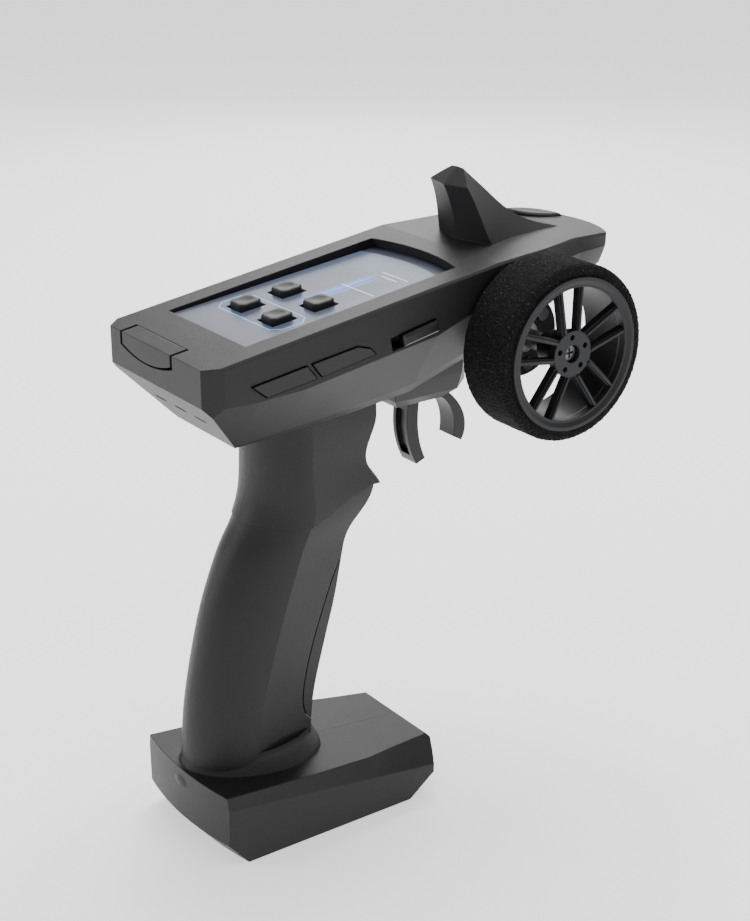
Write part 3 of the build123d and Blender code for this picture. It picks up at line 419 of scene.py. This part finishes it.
def startEdit(mode):
    bpy.ops.object.mode_set(mode="EDIT")
    bpy.ops.mesh.select_mode(type=mode)
    bpy.ops.mesh.select_all(action="DESELECT")
    bpy.ops.object.mode_set(mode="OBJECT")


def fixPlace(piece):
    bpy.ops.object.mode_set(mode="OBJECT")
    bpy.ops.object.select_all(action="DESELECT")
    piece.select_set(True)
    bpy.context.view_layer.objects.active = piece
    bpy.ops.object.transform_apply(location=True, rotation=True, scale=True)


def useModifier(piece, name, kind, **settings):
    modifier = piece.modifiers.new(name, kind)
    for key, value in settings.items():
        setattr(modifier, key, value)
    bpy.context.view_layer.objects.active = piece
    bpy.ops.object.modifier_apply(modifier=name)


def finishPiece(piece, name, body, slot, angle=math.radians(35)):
    piece.name = name
    piece.data.materials.clear()
    piece.data.materials.append(finishes[slot])
    bpy.ops.object.select_all(action="DESELECT")
    piece.select_set(True)
    bpy.context.view_layer.objects.active = piece
    bpy.ops.object.shade_smooth_by_angle(angle=angle)
    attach(piece, body)
    return piece


tyreLow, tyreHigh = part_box("wheel_tyre")
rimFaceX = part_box("wheel_rim")[1].x
wheelCentre = (tyreLow + tyreHigh) / 2
tyreSetup = {
    "turns": 420,             # faces round the tread
    "bore": 23.3 * mm,
    "radius": (tyreHigh.y - tyreLow.y) / 2 - 0.15 * mm,
    "width": tyreHigh.x - tyreLow.x - 0.3 * mm,
    "shoulder": 3.4 * mm,
    "crossCuts": 30,
    "lump": 0.42 * mm,
    "lumpSize": 0.8 * mm,
}


def makeTyre(setup):
    bpy.ops.object.select_all(action="DESELECT")
    bpy.ops.mesh.primitive_cylinder_add(
        vertices=setup["turns"], radius=setup["radius"], depth=setup["width"],
        end_fill_type="NOTHING", location=wheelCentre, rotation=(0, math.pi / 2, 0))
    tyre = bpy.context.object
    fixPlace(tyre)
    useModifier(tyre, "foamDepth", "SOLIDIFY", thickness=setup["radius"] - setup["bore"], offset=-1)
    useModifier(tyre, "shoulders", "BEVEL", width=setup["shoulder"] * 0.45, segments=2,
                limit_method="ANGLE", angle_limit=math.radians(60))

    def onTread(vertex):
        reach = math.hypot(vertex.co.y - wheelCentre.y, vertex.co.z - wheelCentre.z)
        return reach > setup["radius"] - 0.3 * mm

    startEdit("EDGE")
    points = tyre.data.vertices
    for edge in tyre.data.edges:
        first, second = (points[k] for k in edge.vertices)
        across = abs(first.co.x - second.co.x) > setup["width"] * 0.3
        edge.select = across and onTread(first) and onTread(second)
    bpy.ops.object.mode_set(mode="EDIT")
    bpy.ops.mesh.subdivide(number_cuts=setup["crossCuts"])
    bpy.ops.object.mode_set(mode="OBJECT")
    cells = bpy.data.textures.new("foamLumps", "CLOUDS")
    cells.noise_scale = setup["lumpSize"]
    cells.noise_depth = 1
    useModifier(tyre, "foamLumps", "DISPLACE", texture=cells, texture_coords="LOCAL",
                strength=setup["lump"], mid_level=0.62)
    finishPiece(tyre, "foamTyre", "steering_wheel", "foam", math.radians(60))
    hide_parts("wheel_tyre")
    return tyre


foamTyre = makeTyre(tyreSetup)
print("foam tyre:", len(foamTyre.data.polygons), "faces")


spokeSetup = {
    "pairs": 5,
    "firstAngle": math.radians(21.9),
    "hubReach": 7.2 * mm,
    "rimReach": 21.6 * mm,
    "hubOffset": 2.8 * mm,
    "rimOffset": 4.3 * mm,
    "ribWidth": 0.95 * mm,
    "ribHeight": 0.75 * mm,
    "faceX": rimFaceX - 1.6 * mm,      # the spokes' outer face
}


def makeSpokeRibs(setup):
    ribs = []
    for pair in range(setup["pairs"]):
        for side in (-1, 1):
            turn = setup["firstAngle"] + pair * 2 * math.pi / setup["pairs"]
            out = Vector((0, math.cos(turn), math.sin(turn)))
            over = Vector((0, -math.sin(turn), math.cos(turn))) * side
            start = out * setup["hubReach"] + over * setup["hubOffset"]
            end = out * setup["rimReach"] + over * setup["rimOffset"]
            run = end - start
            centre = wheelCentre + (start + end) / 2
            centre.x = setup["faceX"]
            bpy.ops.object.select_all(action="DESELECT")
            bpy.ops.mesh.primitive_cube_add(size=1, location=centre,
                                            rotation=(math.atan2(run.z, run.y), 0, 0))
            rib = bpy.context.object
            rib.scale = (setup["ribHeight"] * 2, run.length, setup["ribWidth"])
            fixPlace(rib)
            useModifier(rib, "softEdges", "BEVEL", width=0.28 * mm, segments=3,
                        limit_method="ANGLE", angle_limit=math.radians(40))
            ribs.append(rib)
    bpy.ops.object.select_all(action="DESELECT")
    for rib in ribs:
        rib.select_set(True)
    bpy.context.view_layer.objects.active = ribs[0]
    bpy.ops.object.join()
    return finishPiece(bpy.context.object, "spokeRibs", "steering_wheel", "rim_plastic")


makeSpokeRibs(spokeSetup)
print("spoke ribs done")
